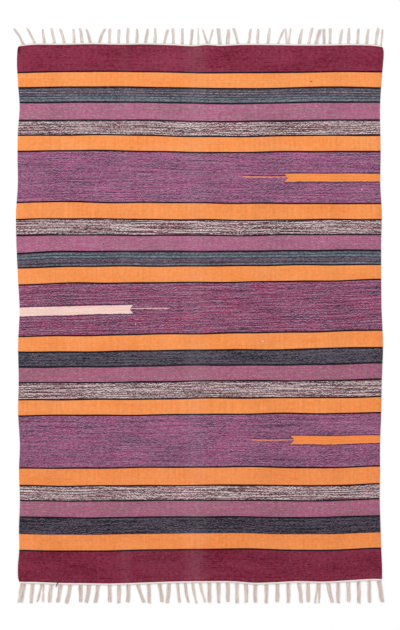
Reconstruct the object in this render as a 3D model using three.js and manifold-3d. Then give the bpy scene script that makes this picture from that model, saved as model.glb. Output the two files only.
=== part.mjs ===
// A flat-woven kilim rug of about 1.2 m by 1.8 m, lying flat. Millimetres, +Z up, +Y along the warp.
// Three pieces: the woven cloth, and at each end a twined strip of undyed cotton that holds the tassels.
import * as THREE from "three";
import { mergeVertices } from "three/addons/utils/BufferGeometryUtils.js";
import Module from "manifold-3d";

// Driving sizes of the cloth, whose near end lies at along = 0
const clothLength = 1777;
const clothThickness = 4;

// Driving sizes of the end strips
const stripWidth = 6.5;
const stripThickness = 4.4;
const seamGap = 0.3; // between the cloth and each strip
const stripInset = 2; // how far the strip's outer corners draw in

// Driving sizes of the tassels, which are trimmed to one straight line at each end
const yarnWidth = 3.3; // each tassel is two to six yarns side by side
const tasselThickness = 3.4;
const farTrim = clothLength + 55; // the far trim line
const nearTrim = -68; // the near trim line
const trimUneven = 2.2;
const trimRhythm = 2.4; // radians from one strand to the next in the wave that makes the trim uneven
const tipTaper = 0.8; // width at the tip, as a share of the root's
const straightLean = 0.75; // the share of a strand's lean that is straight, the rest curving in later
const strandSteps = 4;

// Samples of each smooth edge line for each row of its table
const edgeSteps = 3;

// Distance of each selvedge from the centre line, a row for each section along the cloth
const selvedge = [
  { along: 14, left: 602, right: 604 },
  { along: 36, left: 603, right: 604 },
  { along: 111, left: 598, right: 601 },
  { along: 170, left: 599, right: 599 },
  { along: 270, left: 596, right: 596 },
  { along: 369, left: 599, right: 597 },
  { along: 448, left: 596, right: 597 },
  { along: 561, left: 602, right: 601 },
  { along: 667, left: 600, right: 603 },
  { along: 786, left: 602, right: 607 },
  { along: 905, left: 597, right: 602 },
  { along: 998, left: 602, right: 601 },
  { along: 1130, left: 608, right: 601 },
  { along: 1223, left: 609, right: 603 },
  { along: 1316, left: 603, right: 598 },
  { along: 1422, left: 604, right: 599 },
  { along: 1488, left: 603, right: 598 },
  { along: 1574, left: 597, right: 597 },
  { along: 1647, left: 602, right: 601 },
  { along: 1720, left: 606, right: 607 },
  { along: 1752, left: 605, right: 609 },
  { along: 1764, left: 604, right: 608 },
];

// How far each end line bulges out of the straight, a row for each section across the cloth
const nearEnd = [
  { across: -599, out: -1 },
  { across: -588, out: 0 },
  { across: -567, out: 0 },
  { across: -461, out: 3.6 },
  { across: -355, out: 4.6 },
  { across: -302, out: 5.2 },
  { across: -196, out: 2.6 },
  { across: -90, out: -1 },
  { across: 16, out: -2.4 },
  { across: 121, out: -1.8 },
  { across: 174, out: 2.6 },
  { across: 254, out: 1 },
  { across: 307, out: -2 },
  { across: 413, out: -1 },
  { across: 519, out: -7 },
  { across: 572, out: -10 },
  { across: 603, out: -9 },
];
const farEnd = [
  { across: -602, out: -4.4 },
  { across: -588, out: -2.4 },
  { across: -567, out: 0 },
  { across: -461, out: 1.4 },
  { across: -355, out: 3.4 },
  { across: -249, out: 1.8 },
  { across: -196, out: 2.8 },
  { across: -90, out: 0 },
  { across: -11, out: -2.8 },
  { across: 16, out: 0.4 },
  { across: 69, out: -2.2 },
  { across: 121, out: 0.2 },
  { across: 254, out: 0.2 },
  { across: 307, out: -0.6 },
  { across: 413, out: -1 },
  { across: 519, out: 0 },
  { across: 572, out: -2 },
  { across: 592, out: -4.2 },
  { across: 605, out: -6.6 },
];

// Tassels, a row for each run: the first and last root, how many, how far the tips lean at both ends of
// the run, the yarns in each, and how far apart two halves of a loose tassel lie at the tip
const farTassels = [
  { from: -583, to: -546, count: 2, leanFrom: -32, leanTo: -26, yarns: 3, apart: 0 },
  { from: -516, to: -449, count: 3, leanFrom: -5, leanTo: -13, yarns: 3, apart: 0 },
  { from: -417, to: -362, count: 3, leanFrom: -2, leanTo: -14, yarns: 3, apart: 0 },
  { from: -335, to: -335, count: 1, leanFrom: 19, leanTo: 19, yarns: 3, apart: 0 },
  { from: -300, to: -209, count: 4, leanFrom: 2, leanTo: 0, yarns: 3, apart: 0 },
  { from: -180, to: -149, count: 2, leanFrom: 7, leanTo: 1, yarns: 3, apart: 0 },
  { from: -119, to: -119, count: 1, leanFrom: 12, leanTo: 12, yarns: 3, apart: 0 },
  { from: -88, to: -30, count: 3, leanFrom: -1, leanTo: 4, yarns: 3, apart: 0 },
  { from: -5, to: -5, count: 1, leanFrom: -1, leanTo: -1, yarns: 2, apart: 0 },
  { from: 27, to: 27, count: 1, leanFrom: -1, leanTo: -1, yarns: 4, apart: 34 },
  { from: 67, to: 92, count: 2, leanFrom: -7, leanTo: 3, yarns: 4, apart: 0 },
  { from: 127, to: 127, count: 1, leanFrom: -15, leanTo: -15, yarns: 3, apart: 0 },
  { from: 160, to: 191, count: 2, leanFrom: 9, leanTo: 1, yarns: 3, apart: 0 },
  { from: 225, to: 225, count: 1, leanFrom: 7, leanTo: 7, yarns: 3, apart: 0 },
  { from: 258, to: 258, count: 1, leanFrom: 21, leanTo: 21, yarns: 2, apart: 0 },
  { from: 291, to: 291, count: 1, leanFrom: 1, leanTo: 1, yarns: 4, apart: 17 },
  { from: 329, to: 360, count: 2, leanFrom: 10, leanTo: 12, yarns: 3, apart: 0 },
  { from: 384, to: 384, count: 1, leanFrom: 14, leanTo: 14, yarns: 4, apart: 0 },
  { from: 411, to: 431, count: 2, leanFrom: 1, leanTo: 1, yarns: 3, apart: 0 },
  { from: 463, to: 492, count: 2, leanFrom: 8, leanTo: 2, yarns: 3, apart: 0 },
  { from: 522, to: 582, count: 3, leanFrom: 4, leanTo: 9, yarns: 3, apart: 0 },
  { from: 600, to: 600, count: 1, leanFrom: 6, leanTo: 6, yarns: 2, apart: 0 },
];
const nearTassels = [
  { from: -586, to: -586, count: 1, leanFrom: -10, leanTo: -10, yarns: 6, apart: 0 },
  { from: -555, to: -555, count: 1, leanFrom: -5, leanTo: -5, yarns: 4, apart: 0 },
  { from: -522, to: -522, count: 1, leanFrom: -7, leanTo: -7, yarns: 4, apart: 19 },
  { from: -493, to: -429, count: 3, leanFrom: -6, leanTo: -13, yarns: 4, apart: 0 },
  { from: -395, to: -395, count: 1, leanFrom: 0, leanTo: 0, yarns: 4, apart: 0 },
  { from: -367, to: -337, count: 2, leanFrom: -9, leanTo: -9, yarns: 4, apart: 0 },
  { from: -299, to: -236, count: 3, leanFrom: 1, leanTo: -3, yarns: 4, apart: 0 },
  { from: -206, to: -206, count: 1, leanFrom: 20, leanTo: 20, yarns: 4, apart: 0 },
  { from: -170, to: -134, count: 2, leanFrom: 3, leanTo: 9, yarns: 4, apart: 0 },
  { from: -102, to: -102, count: 1, leanFrom: -6, leanTo: -6, yarns: 4, apart: 0 },
  { from: -75, to: 0, count: 4, leanFrom: 8, leanTo: 17, yarns: 3, apart: 0 },
  { from: 31, to: 153, count: 5, leanFrom: 1, leanTo: 1, yarns: 4, apart: 0 },
  { from: 183, to: 294, count: 4, leanFrom: 1, leanTo: -1, yarns: 4, apart: 0 },
  { from: 329, to: 358, count: 2, leanFrom: 8, leanTo: 1, yarns: 4, apart: 0 },
  { from: 394, to: 394, count: 1, leanFrom: -6, leanTo: -6, yarns: 4, apart: 13 },
  { from: 424, to: 424, count: 1, leanFrom: 15, leanTo: 15, yarns: 4, apart: 0 },
  { from: 458, to: 560, count: 4, leanFrom: 1, leanTo: 2, yarns: 4, apart: 0 },
  { from: 594, to: 594, count: 1, leanFrom: 11, leanTo: 11, yarns: 5, apart: 0 },
];

const wasm = await Module();
wasm.setup();

// A closed geometry as a solid that can be joined to another.
function solidOf(geometry) {
  const bare = geometry.clone();
  bare.deleteAttribute("normal");
  bare.deleteAttribute("uv");
  const merged = mergeVertices(bare);
  return new wasm.Manifold(
    new wasm.Mesh({
      numProp: 3,
      vertProperties: merged.attributes.position.array,
      triVerts: new Uint32Array(merged.index.array),
    }),
  );
}

// A joined solid back as a flat-shaded geometry.
function geometryOf(solid) {
  const made = solid.getMesh();
  const joined = new THREE.BufferGeometry();
  joined.setAttribute("position", new THREE.BufferAttribute(made.vertProperties, 3));
  joined.setIndex(new THREE.BufferAttribute(made.triVerts, 1));
  const flat = joined.toNonIndexed();
  flat.computeVertexNormals();
  return flat;
}

// Points of the smooth line through a few hand-set points. The centripetal curve doesn't overshoot where the
// points lie unevenly.
function smoothLine(points) {
  const curve = new THREE.CatmullRomCurve3(points.map(({ x, y }) => new THREE.Vector3(x, y, 0)));
  return curve.getPoints(edgeSteps * (points.length - 1)).map(({ x, y }) => new THREE.Vector2(x, y));
}

// The line of one end, from left to right. side is 1 at the far end and -1 at the near end, and beyond is
// how far the line lies outside the last pick.
function endLine(table, endAlong, side, beyond) {
  const points = table.map(({ across, out }) => new THREE.Vector2(across, endAlong + side * (out + beyond)));
  return smoothLine(points);
}

// The line of one selvedge from the near to the far corner, which it shares with the end lines.
function selvedgeLine(column, side, nearCorner, farCorner) {
  const between = selvedge.map((row) => new THREE.Vector2(side * row[column], row.along));
  return smoothLine([nearCorner, ...between, farCorner]);
}

// The cloth: its four edge lines joined into one outline, counter-clockwise, and given its thickness.
function makeCloth() {
  const near = endLine(nearEnd, 0, -1, 0);
  const far = endLine(farEnd, clothLength, 1, 0);
  const left = selvedgeLine("left", -1, near[0], far[0]);
  const right = selvedgeLine("right", 1, near.at(-1), far.at(-1));
  const outline = [...near, ...right.slice(1, -1), ...far.reverse(), ...left.reverse().slice(1, -1)];
  return new THREE.ExtrudeGeometry(new THREE.Shape(outline), { depth: clothThickness, bevelEnabled: false });
}

// The strip along one end: a band that follows the end line just outside the cloth.
function makeStrip(table, endAlong, side) {
  const inner = endLine(table, endAlong, side, seamGap);
  const outer = endLine(table, endAlong, side, seamGap + stripWidth);
  outer[0].x += stripInset;
  outer.at(-1).x -= stripInset;
  const outline = side > 0 ? [...inner, ...outer.reverse()] : [...outer, ...inner.reverse()];
  return new THREE.ExtrudeGeometry(new THREE.Shape(outline), { depth: stripThickness, bevelEnabled: false });
}

// One strand, four-sided and level on the floor. Its centre line leaves the root nearly straight and leans
// more towards the tip: across = root + lean * s * (straight + (1 - straight) * s), with s from 0 to 1.
function makeStrand(root, rootAlong, tipAlong, lean, width) {
  const edges = [-1, 1].map((side) =>
    Array.from({ length: strandSteps + 1 }, (_, step) => {
      const s = step / strandSteps;
      const middle = root + lean * s * THREE.MathUtils.lerp(straightLean, 1, s);
      const half = (width / 2) * THREE.MathUtils.lerp(1, tipTaper, s);
      return new THREE.Vector2(middle + side * half, THREE.MathUtils.lerp(rootAlong, tipAlong, s));
    }),
  );
  const outline = new THREE.Shape([...edges[0], ...edges[1].reverse()]);
  return new THREE.ExtrudeGeometry(outline, { depth: tasselThickness, bevelEnabled: false });
}

// Every strand of one end as { root, lean, yarns, trim }, read off the table of runs. A loose tassel gives
// two strands, side by side at the root, that part to either side.
function strandsOf(table) {
  const strands = [];
  for (const run of table) {
    for (let i = 0; i < run.count; i += 1) {
      const share = run.count > 1 ? i / (run.count - 1) : 0;
      const root = THREE.MathUtils.lerp(run.from, run.to, share);
      const lean = THREE.MathUtils.lerp(run.leanFrom, run.leanTo, share);
      const trim = trimUneven * Math.sin(strands.length * trimRhythm);
      if (run.apart === 0) {
        strands.push({ root, lean, yarns: run.yarns, trim });
      } else {
        for (const side of [-1, 1]) {
          const yarns = run.yarns / 2;
          const shift = (side * yarnWidth * yarns) / 2;
          const part = (side * run.apart) / 2;
          strands.push({ root: root + shift, lean: lean + part - shift, yarns, trim });
        }
      }
    }
  }
  return strands;
}

// The fringe of one end: the strip with every strand's root fused into its middle.
function makeFringe(ends, tassels, endAlong, trimAlong, side) {
  const strip = solidOf(makeStrip(ends, endAlong, side));
  const middle = endLine(ends, endAlong, side, seamGap + stripWidth / 2);
  const strands = strandsOf(tassels).map(({ root, lean, yarns, trim }) => {
    const distance = (point) => Math.abs(point.x - root);
    const nearest = middle.reduce((best, point) => (distance(point) < distance(best) ? point : best));
    return solidOf(makeStrand(root, nearest.y, trimAlong + side * trim, lean, yarns * yarnWidth));
  });
  return geometryOf(strands.reduce((joined, strand) => joined.add(strand), strip));
}

const wovenCotton = new THREE.MeshStandardMaterial({ color: 0x8a4f6e, roughness: 0.95, metalness: 0 });
const undyedCotton = new THREE.MeshStandardMaterial({ color: 0xe6dacb, roughness: 0.95, metalness: 0 });

const cloth = new THREE.Mesh(makeCloth(), wovenCotton);
cloth.name = "cloth";
const farFringe = new THREE.Mesh(makeFringe(farEnd, farTassels, clothLength, farTrim, 1), undyedCotton);
farFringe.name = "fringe_far_end";
const nearFringe = new THREE.Mesh(makeFringe(nearEnd, nearTassels, 0, nearTrim, -1), undyedCotton);
nearFringe.name = "fringe_near_end";

// The pieces stand about the middle of the rug's own box, with the underside at zero.
const kilim = new THREE.Group();
kilim.add(cloth, farFringe, nearFringe);
const middle = new THREE.Box3().setFromObject(kilim).getCenter(new THREE.Vector3());
kilim.position.set(-middle.x, -middle.y, 0);

export default kilim;
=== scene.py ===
import math

import bpy
import numpy as np
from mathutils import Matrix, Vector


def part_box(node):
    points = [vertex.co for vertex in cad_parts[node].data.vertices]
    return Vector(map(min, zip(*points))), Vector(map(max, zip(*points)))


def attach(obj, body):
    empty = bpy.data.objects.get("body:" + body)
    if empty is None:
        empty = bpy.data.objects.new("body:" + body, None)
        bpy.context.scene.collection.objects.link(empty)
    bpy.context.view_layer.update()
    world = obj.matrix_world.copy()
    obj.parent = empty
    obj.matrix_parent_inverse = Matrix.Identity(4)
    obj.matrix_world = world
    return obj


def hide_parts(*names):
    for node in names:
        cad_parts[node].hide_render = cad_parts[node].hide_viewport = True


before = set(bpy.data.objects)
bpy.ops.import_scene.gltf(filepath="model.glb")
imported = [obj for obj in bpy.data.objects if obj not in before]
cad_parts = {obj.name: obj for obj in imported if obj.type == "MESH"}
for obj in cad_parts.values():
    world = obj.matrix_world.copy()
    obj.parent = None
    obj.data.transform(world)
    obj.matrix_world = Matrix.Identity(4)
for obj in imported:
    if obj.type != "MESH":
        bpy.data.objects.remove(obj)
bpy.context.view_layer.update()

mm = 0.001
chance = np.random.default_rng(11)

# The rug lies with its warp along y. Sizes are in millimetres. "across" counts from the middle warp to the
# right, and "along" from the first pick, at the near end, to the last one.
rug = {
    "length": 1777,
    "half": 600,  # half its width, where the selvedges are straight
    "rows": 538,  # rows of weft that show, counted between the two end strips
    "thick": 3.3,
    "stripWidth": 6.5,  # the twined strip of undyed cotton at each end
    "stripThick": 4.4,
    "seam": 0.3,
    "farTrim": 1832,  # the lines that the tassels are trimmed to
    "nearTrim": -68,
}
pick = rug["length"] / rug["rows"]
studioLight = 1.07  # how much light falls on the middle of the rug, where 1 shows a shade as it is

# along, left, right: how far each selvedge lies from the middle warp
selvedges = np.array([
    (0, 599, 603), (14, 602, 604), (36, 603, 604), (111, 598, 601), (170, 599, 599), (270, 596, 596),
    (369, 599, 597), (448, 596, 597), (561, 602, 601), (667, 600, 603), (786, 602, 607), (905, 597, 602),
    (998, 602, 601), (1130, 608, 601), (1223, 609, 603), (1316, 603, 598), (1422, 604, 599),
    (1488, 603, 598), (1574, 597, 597), (1647, 602, 601), (1720, 606, 607), (1752, 605, 609),
    (1764, 604, 608), (1772, 602, 605),
], dtype=float)

# across, out: how far each end line bulges out of the straight
nearEnd = np.array([
    (-599, -1), (-588, 0), (-567, 0), (-461, 3.6), (-355, 4.6), (-302, 5.2), (-196, 2.6), (-90, -1),
    (16, -2.4), (121, -1.8), (174, 2.6), (254, 1), (307, -2), (413, -1), (519, -7), (572, -10), (603, -9),
])
farEnd = np.array([
    (-602, -4.4), (-588, -2.4), (-567, 0), (-461, 1.4), (-355, 3.4), (-249, 1.8), (-196, 2.8), (-90, 0),
    (-11, -2.8), (16, 0.4), (69, -2.2), (121, 0.2), (254, 0.2), (307, -0.6), (413, -1), (519, 0),
    (572, -2), (592, -4.2), (605, -6.6),
])

# How far the weft rows rise out of the straight at nine places across. Each row starts with its place along.
riseAcross = (-594, -461, -329, -163, 2, 135, 300, 433, 582)
riseRows = np.array([
    (101, 3, 0.3, 1, 4.3, 6, 8, 3.6, 3.6, 10),
    (212, 1.7, -1, -1.3, 1.3, 2, 2, -0.7, 0.7, 5.6),
    (320, -0.3, -2.3, -1.3, -0.3, 0, 1.7, -0.3, -1, 6),
    (378, -1.3, -2.3, -1.3, 1, 1.7, 3.3, 0.7, -0.3, 5),
    (549, -0.3, 1.3, 1.3, 2, 4.6, 5, 7.6, 6.6, 10),
    (660, 0, 0, 1, 3.3, 6.3, 7, 6.6, 7.6, 12.2),
    (762, -1.3, 0, 0.3, 4, 6, 6.6, 7.6, 12, 15),
    (813, -1, 0.7, 2.6, 6.3, 8.3, 10.3, 13, 15.6, 20),
    (985, -3, 2.6, 3.3, 4.6, 5.6, 6.6, 9.3, 10.6, 15.2),
    (1041, -3, 2.3, 3.3, 4, 4, 5.3, 7.6, 8, 9.6),
    (1091, -3.6, 2.3, 3.3, 3.3, 3.6, 3.3, 6, 6.6, 7),
    (1148, -0.7, 1.3, 0.7, -0.3, -0.3, -1, 1.7, 2.3, 2.3),
    (1201, -1.3, 2, 1.3, -1, -1.3, -4, -1.7, -1, -0.7),
    (1256, -0.3, 3, 0.3, -0.3, -0.7, -3, -3, -3.6, -4.3),
    (1427, 1, 2.3, 3.3, 0.3, -3.3, -3.3, -0.3, 0, 0),
    (1586, 0, 1, 1.7, 1.3, -2.3, -3, 0, 2, 1.3),
    (1634, -0.3, 2, 2.6, 1, -1.7, -3.6, -0.7, 2.3, -0.3),
    (1688, -2.3, 0.3, 1.7, 0.3, -3, -3, -2, 0.7, 0),
])

# Bands from the near end: the yarn, the rows of weft, and whether a dark pick closes the band
bands = (
    ("burgundyNear", 30, 1), ("orangeNear", 16, 0), ("charcoalNear", 17, 1), ("mauveNear", 16, 1),
    ("marl", 14, 1), ("orangeNear", 17, 1), ("purpleNear", 51, 1), ("orange", 15, 1),
    ("marl", 16, 1), ("mauveNear", 15, 1), ("charcoal", 14, 1), ("orange", 15, 1),
    ("purpleMiddle", 51, 1), ("orange", 16, 1), ("slateMiddle", 14, 1), ("mauve", 16, 1), ("marl", 15, 1),
    ("orange", 16, 1), ("purpleFar", 50, 1), ("orangeFar", 15, 1), ("marl", 14, 1), ("mauveFar", 17, 1),
    ("slateFar", 14, 1), ("orangeFar", 15, 1), ("burgundyFar", 26, 0),
)
# The two slate bands are rows of several yarns
mixedBands = {
    "slateMiddle": (("ash", 1), ("teal", 1), ("darkPlum", 1), ("plum", 4), ("darkPlum", 1), ("teal", 2),
                    ("darkTeal", 1), ("teal", 1), ("ash", 1), ("darkPlum", 1)),
    "slateFar": (("slate", 1), ("paleTeal", 1), ("slate", 2), ("teal", 1), ("darkTeal", 1), ("ash", 2),
                 ("darkPlum", 1), ("paleAsh", 1), ("darkPlum", 1), ("slate", 1), ("ash", 1),
                 ("darkPlum", 1)),
}
# Each yarn: its darkest, lightest and stray shades as the eye sees them, how strongly its picks differ, how
# plain it is (1: soft patches, 0: streaks along single picks), and how much stray shade it holds
# The Far, plain and Near copies of the burgundy, orange, mauve and charcoal yarns grow darker towards the
# near end: a painted shade for the light that falls off there, beyond what the softbox gives
yarns = {
    "burgundyFar": ((97, 0, 28), (156, 50, 82), (136, 66, 84), 0.215, 1.0, 0.6),
    "burgundyNear": ((92, 0, 25), (147, 44, 76), (126, 60, 76), 0.23, 1.0, 0.6),
    "orangeFar": ((244, 127, 48), (255, 171, 100), (248, 162, 118), 0.14, 1.0, 0.35),
    "orange": ((237, 126, 50), (255, 166, 97), (248, 158, 110), 0.14, 1.0, 0.35),
    "orangeNear": ((232, 122, 50), (254, 162, 95), (246, 152, 106), 0.14, 1.0, 0.35),
    "mauveFar": ((132, 86, 100), (190, 150, 160), (184, 86, 134), 0.195, 0.8, 0.95),
    "mauve": ((130, 84, 100), (190, 148, 162), (182, 84, 132), 0.195, 0.8, 0.95),
    "mauveNear": ((127, 80, 95), (183, 142, 151), (174, 80, 122), 0.195, 0.8, 0.95),
    "marl": ((36, 23, 24), (226, 211, 210), (160, 98, 112), 0.47, 0.0, 0.62),
    "purpleFar": ((34, 44, 68), (180, 136, 156), (186, 80, 140), 0.26, 0.3, 0.66),
    "purpleMiddle": ((28, 34, 58), (172, 134, 162), (180, 56, 96), 0.31, 0.15, 0.66),
    "purpleNear": ((38, 42, 66), (180, 134, 160), (182, 72, 126), 0.24, 0.4, 0.62),
    "charcoal": ((16, 14, 24), (112, 104, 112), (72, 66, 92), 0.31, 0.4, 0.4),
    "charcoalNear": ((10, 8, 16), (100, 90, 102), (66, 56, 78), 0.36, 0.4, 0.3),
    "teal": ((62, 77, 86), (140, 155, 162), (96, 94, 112), 0.25, 0.5, 0.4),
    "paleTeal": ((80, 94, 102), (160, 172, 178), (108, 108, 124), 0.25, 0.5, 0.3),
    "slate": ((44, 46, 54), (128, 128, 138), (92, 84, 104), 0.28, 0.5, 0.4),
    "darkTeal": ((24, 26, 36), (82, 88, 98), (56, 48, 64), 0.25, 0.5, 0.3),
    "plum": ((50, 45, 58), (130, 117, 132), (112, 74, 98), 0.28, 0.5, 0.4),
    "darkPlum": ((28, 23, 34), (92, 83, 95), (76, 56, 74), 0.28, 0.5, 0.3),
    "ash": ((62, 60, 69), (134, 131, 140), (108, 84, 104), 0.3, 0.5, 0.4),
    "paleAsh": ((94, 88, 100), (172, 166, 178), (132, 106, 128), 0.3, 0.5, 0.3),
    "line": ((4, 2, 10), (46, 38, 52), (46, 30, 52), 0.2, 0.6, 0.2),
}


def dye(red, green, blue):
    # A shade named as the eye sees it in this light, 0 to 255, as the linear colour that a shader takes. The
    # bare numbers are those of the sRGB curve.
    seen = np.array([red, green, blue]) / 255
    linear = np.where(seen <= 0.04045, seen / 12.92, ((seen + 0.055) / 1.055) ** 2.4)
    return (*(linear / studioLight).tolist(), 1.0)


def smoothLine(table, at):
    # A cubic from each row of the table to the next: at share s of a gap h it is
    # (2s^3 - 3s^2 + 1) a + (s^3 - 2s^2 + s) h slopeA + (3s^2 - 2s^3) b + (s^3 - s^2) h slopeB,
    # and each slope weighs the rises on its two sides by the other side's gap
    places, values = table[:, 0], table[:, 1:]
    gaps = np.diff(places)[:, None]
    rises = np.diff(values, axis=0) / gaps
    inner = (gaps[1:] * rises[:-1] + gaps[:-1] * rises[1:]) / (gaps[1:] + gaps[:-1])
    slopes = np.vstack([rises[:1], inner, rises[-1:]])
    at = np.clip(np.asarray(at, float), places[0], places[-1])
    k = np.clip(np.searchsorted(places, at) - 1, 0, len(places) - 2)
    h = gaps[k]
    s = (at[..., None] - places[k][..., None]) / h
    start = (2 * s**3 - 3 * s**2 + 1) * values[k] + (s**3 - 2 * s**2 + s) * h * slopes[k]
    return start + (3 * s**2 - 2 * s**3) * values[k + 1] + (s**3 - s**2) * h * slopes[k + 1]


def bandStrips():
    # Every strip of one yarn from the near end, as (yarn, first row, rows)
    strips, first = [], 0
    for yarn, rows, closed in bands:
        for part, count in mixedBands.get(yarn, ((yarn, rows),)):
            strips.append((part, first, count))
            first += count
        if closed:
            strips.append(("line", first, 1))
            first += 1
    return strips


def middleAndHalf(along):
    # The x midway between the selvedges, and the half width, at each place along
    edges = smoothLine(selvedges, along)
    left, right = -edges[..., 0], edges[..., 1]
    return (left + right) / 2, (right - left) / 2


def weftRise(across, along):
    # How far the weft lies from its straight place: a cubic across each row of the table, then one along
    between = smoothLine(np.column_stack([riseAcross, riseRows[:, 1:].T]), across)
    rows = np.hstack([-smoothLine(nearEnd, across), between, smoothLine(farEnd, across)]).T
    return smoothLine(np.column_stack([[0, *riseRows[:, 0], rug["length"]], rows]), along)


def addObject(name, data):
    made = bpy.data.objects.new(name, data)
    bpy.context.scene.collection.objects.link(made)
    return made


def meshObject(name, points, faces, material, smooth=True):
    # A mesh object from points in metres and faces as lists of point numbers
    mesh = bpy.data.meshes.new(name)
    mesh.from_pydata(np.asarray(points).reshape(-1, 3).tolist(), [], faces)
    mesh.polygons.foreach_set("use_smooth", np.full(len(mesh.polygons), smooth))
    mesh.materials.append(material)
    return addObject(name, mesh)


def addMap(piece, name, places):
    # A UV map from one pair of numbers for each corner of each face
    layer = piece.data.uv_layers.new(name=name)
    layer.data.foreach_set("uv", np.asarray(places, np.float32).ravel())


# Nodes


class Value:
    # What a socket of a shader node gives. Python's own signs work on it where it is a number.
    def __init__(self, tree, socket):
        self.tree = tree
        self.socket = socket

    def __add__(self, other):
        return calc("ADD", self, other)

    def __sub__(self, other):
        return calc("SUBTRACT", self, other)

    def __mul__(self, other):
        return calc("MULTIPLY", self, other)

    def __truediv__(self, other):
        return calc("DIVIDE", self, other)

    def __pow__(self, other):
        return calc("POWER", self, other)

    def __gt__(self, other):
        return calc("GREATER_THAN", self, other)

    def __abs__(self):
        return calc("ABSOLUTE", self)


def giveAll(sockets, values):
    # Each socket takes either a link or a fixed value
    for label, value in values.items():
        if isinstance(value, Value):
            value.tree.links.new(value.socket, sockets[label])
        else:
            sockets[label].default_value = value


def outputsOf(tree, node):
    # What the sockets of a node give, by name and by place
    made = {socket.name: Value(tree, socket) for socket in node.outputs}
    made.update({place: Value(tree, socket) for place, socket in enumerate(node.outputs)})
    return made


def newNode(kind, values, tree=None, **settings):
    # A shader node in the tree that its values are from
    if tree is None:
        tree = next(value.tree for value in values.values() if isinstance(value, Value))
    node = tree.nodes.new("ShaderNode" + kind)
    for key, value in settings.items():
        setattr(node, key, value)
    giveAll(node.inputs, values)
    return outputsOf(tree, node)


def calc(operation, *terms, clamp=False):
    return newNode("Math", dict(enumerate(terms)), operation=operation, use_clamp=clamp)[0]


def mapped(value, low, high, lowOut=0.0, highOut=1.0, **settings):
    # The value carried from between low and high to between lowOut and highOut
    return newNode("MapRange", {0: value, 1: low, 2: high, 3: lowOut, 4: highOut}, **settings)[0]


def vector(x, y, z=0.0):
    return newNode("CombineXYZ", {0: x, 1: y, 2: z})[0]


def noise(x, y, grains, detail):
    # Noise from 0 to 1, with so many grains to a unit of x and of y
    place = vector(x * grains[0], y * grains[1])
    return newNode("TexNoise", {"Vector": place, "Scale": 1.0, "Detail": detail}, noise_dimensions="2D")[0]


def mixColour(share, first, second, blend="MIX"):
    # A mix node takes its two colours in sockets 6 and 7 and gives the mixed one in socket 2
    return newNode("Mix", {0: share, 6: first, 7: second}, data_type="RGBA", blend_type=blend)[2]


def dyed(colour, share, shade):
    # The colour with a share of a shade over it
    return mixColour(share, colour, dye(*shade))


def shaded(colour, share):
    # The colour times one share in all its channels
    return mixColour(1.0, colour, vector(share, share, share), "MULTIPLY")


def bumped(look, height):
    return newNode("Bump", {**look["bump"], "Height": height})[0]


def mapPlace(tree, name):
    # The two numbers of a UV map
    place = newNode("SeparateXYZ", {0: newNode("UVMap", {}, tree, uv_map=name)[0]})
    return place[0], place[1]


def newGroup(name, inputs, outputs):
    # A shader node group whose sockets are all numbers, and what its inputs give
    group = bpy.data.node_groups.new(name, "ShaderNodeTree")
    for labels, way in ((inputs, "INPUT"), (outputs, "OUTPUT")):
        for label in labels:
            group.interface.new_socket(name=label, in_out=way, socket_type="NodeSocketFloat")
    return group, outputsOf(group, group.nodes.new("NodeGroupInput"))


def closeGroup(group, results):
    giveAll(group.nodes.new("NodeGroupOutput").inputs, results)
    return group


def newMaterial(name, values):
    # A material with these values on its shader's own sockets
    material = bpy.data.materials.new(name)
    material.use_nodes = True
    shader = material.node_tree.nodes["Principled BSDF"]
    giveAll(shader.inputs, values)
    return material, material.node_tree, shader


# The weave: tones run 0 to 1, lengths are in millimetres, and grains are so many to a metre across and along
weave = {
    "shine": {"Roughness": 0.93, "Specular IOR Level": 0.12, "Sheen Weight": 0.02, "Sheen Roughness": 0.6},
    "lengths": {"Warp": 3.7, "Dash": 22, "Drift": 170, "Stray": 150},  # Warp is from one bead to the next
    "streaks": {"Dash": (700, 0), "Drift": (1100, 0), "Stray": (1700, 3)},  # how rows differ, and detail
    "beadRound": 0.6,
    "crispness": 0.25,  # how strongly a pick stands out from the two beside it
    "shares": {"Bead": 2.9, "Dash": 1.5, "Drift": 4.2, "Patch": 3.8, "Mottle": 3.2, "Speck": 0.5},
    "patch": (1000 / 170, 1000 / 60),
    "mottle": (1000 / 10, 1000 / 12),
    "beadLoss": 0.25,  # how much weaker single beads are in a yarn that is all streaks or all plain
    "streakCurve": 1.5,  # the power of the tone in a yarn that is all streaks. In a plain one it is 1.
    "strayTone": (-0.2, 0.25),  # between these tones the stray shade comes in
    "strayPatch": (0.3, 0.7, 0.7, 1.2),  # and from this to that patch its share grows, from 0.7 to 1.2
    "fleck": {"tone": 0.994, "share": 0.1, "shade": (196, 176, 184)},  # beads of lint, past this tone
    "warpGrains": (130, 6),
    "warpLines": 0.2,  # how strongly the warps show as faint lines along the rug
    "glint": {"row": 2.5, "reach": 0.6, "tone": 0.8, "share": 0.08, "shade": (226, 170, 180)},
    "fuzz": (500, 2200),
    "fuzzHeight": 0.35,
    "bump": {"Strength": 0.55, "Distance": 0.5 * mm},  # the beads' height
    "roughness": (0.84, 0.14),  # in the smoothest place, and how much the fuzz adds
}


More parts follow.
